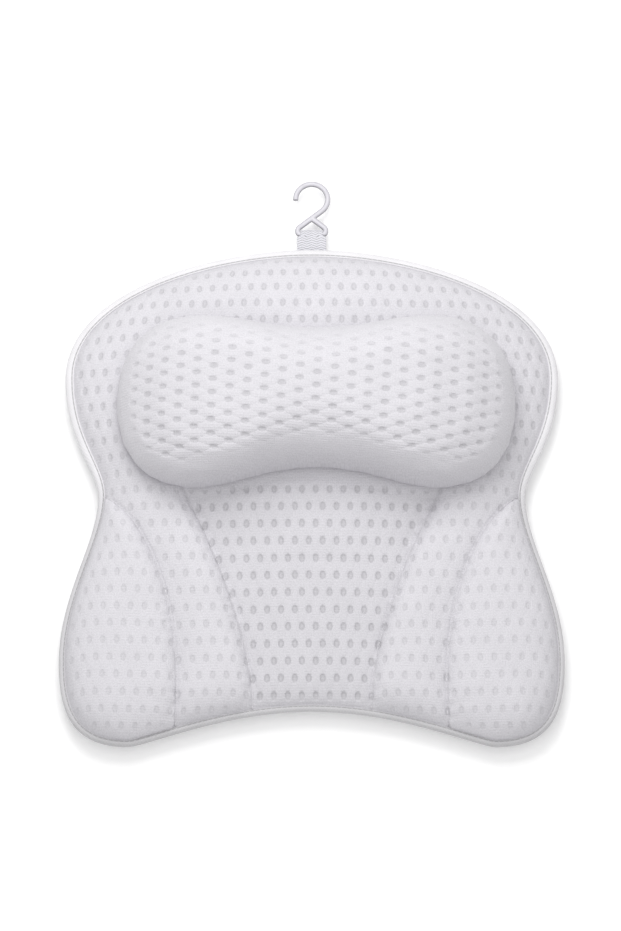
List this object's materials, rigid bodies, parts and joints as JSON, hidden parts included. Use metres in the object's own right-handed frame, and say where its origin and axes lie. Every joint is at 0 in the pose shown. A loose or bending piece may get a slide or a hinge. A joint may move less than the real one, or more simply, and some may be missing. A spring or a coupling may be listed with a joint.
{
  "type": "bath pillow",
  "caption": "Butterfly-shaped quilted mesh bath pillow with a raised bone-shaped neck bolster, a hanger hook on a webbing loop and suction cups on its back.",
  "frame": {"origin": "middle of the pillow's length and width, hook included, on the plane of the suction cups' lips", "axes": "+Z out of the padded front face, +Y along the pad towards the hook, +X to the right seen from the front"},
  "size_m": [0.4134, 0.4923, 0.1055],
  "materials": {
    "mesh_fabric": "soft knitted air mesh with oval holes",
    "binding_tape": "smooth woven tape",
    "webbing": "ribbed herringbone webbing",
    "fibre_fill": "loose fibre filling",
    "hook_plastic": "glossy moulded white",
    "cup_pvc": "clear soft moulding"
  },
  "bodies": {
    "pad": {"back_cover": "mesh_fabric", "front_cover": "mesh_fabric", "centre_fill": "fibre_fill", "left_channel_fill": "fibre_fill", "right_channel_fill": "fibre_fill", "left_wing_fill": "fibre_fill", "right_wing_fill": "fibre_fill", "yoke_fill": "fibre_fill", "edge_binding": "binding_tape", "bolster_backing": "mesh_fabric", "bolster_cover": "mesh_fabric", "bolster_fill": "fibre_fill", "loop_tail": "webbing", "cup_patch_upper_left": "binding_tape", "cup_patch_upper_right": "binding_tape", "cup_patch_middle_left": "binding_tape", "cup_patch_middle_right": "binding_tape", "cup_patch_lower_left": "binding_tape", "cup_patch_lower_right": "binding_tape"},
    "loop": {"hanging_loop": "webbing"},
    "hook": {"hanger_hook": "hook_plastic"},
    "cup_upper_left": {"suction_cup_upper_left": "cup_pvc"},
    "cup_upper_right": {"suction_cup_upper_right": "cup_pvc"},
    "cup_middle_left": {"suction_cup_middle_left": "cup_pvc"},
    "cup_middle_right": {"suction_cup_middle_right": "cup_pvc"},
    "cup_lower_left": {"suction_cup_lower_left": "cup_pvc"},
    "cup_lower_right": {"suction_cup_lower_right": "cup_pvc"}
  },
  "joints": [
    {"name": "loop_flex", "type": "hinge", "parent": "pad", "child": "loop", "pos_m": [0, 0.18578, 0.0121], "axis": [1, 0, 0], "range_deg": [-60, 60]},
    {"name": "hook_swing", "type": "hinge", "parent": "loop", "child": "hook", "pos_m": [0, 0.19978, 0.0121], "axis": [1, 0, 0], "range_deg": [-90, 90]},
    {"name": "cup_spin_upper_left", "type": "hinge", "parent": "pad", "child": "cup_upper_left", "pos_m": [-0.112, 0.09578, 0], "axis": [0, 0, 1], "continuous": true},
    {"name": "cup_spin_upper_right", "type": "hinge", "parent": "pad", "child": "cup_upper_right", "pos_m": [0.112, 0.09578, 0], "axis": [0, 0, 1], "continuous": true},
    {"name": "cup_spin_middle_left", "type": "hinge", "parent": "pad", "child": "cup_middle_left", "pos_m": [-0.104, -0.03822, 0], "axis": [0, 0, 1], "continuous": true},
    {"name": "cup_spin_middle_right", "type": "hinge", "parent": "pad", "child": "cup_middle_right", "pos_m": [0.104, -0.03822, 0], "axis": [0, 0, 1], "continuous": true},
    {"name": "cup_spin_lower_left", "type": "hinge", "parent": "pad", "child": "cup_lower_left", "pos_m": [-0.143, -0.17222, 0], "axis": [0, 0, 1], "continuous": true},
    {"name": "cup_spin_lower_right", "type": "hinge", "parent": "pad", "child": "cup_lower_right", "pos_m": [0.143, -0.17222, 0], "axis": [0, 0, 1], "continuous": true}
  ]
}
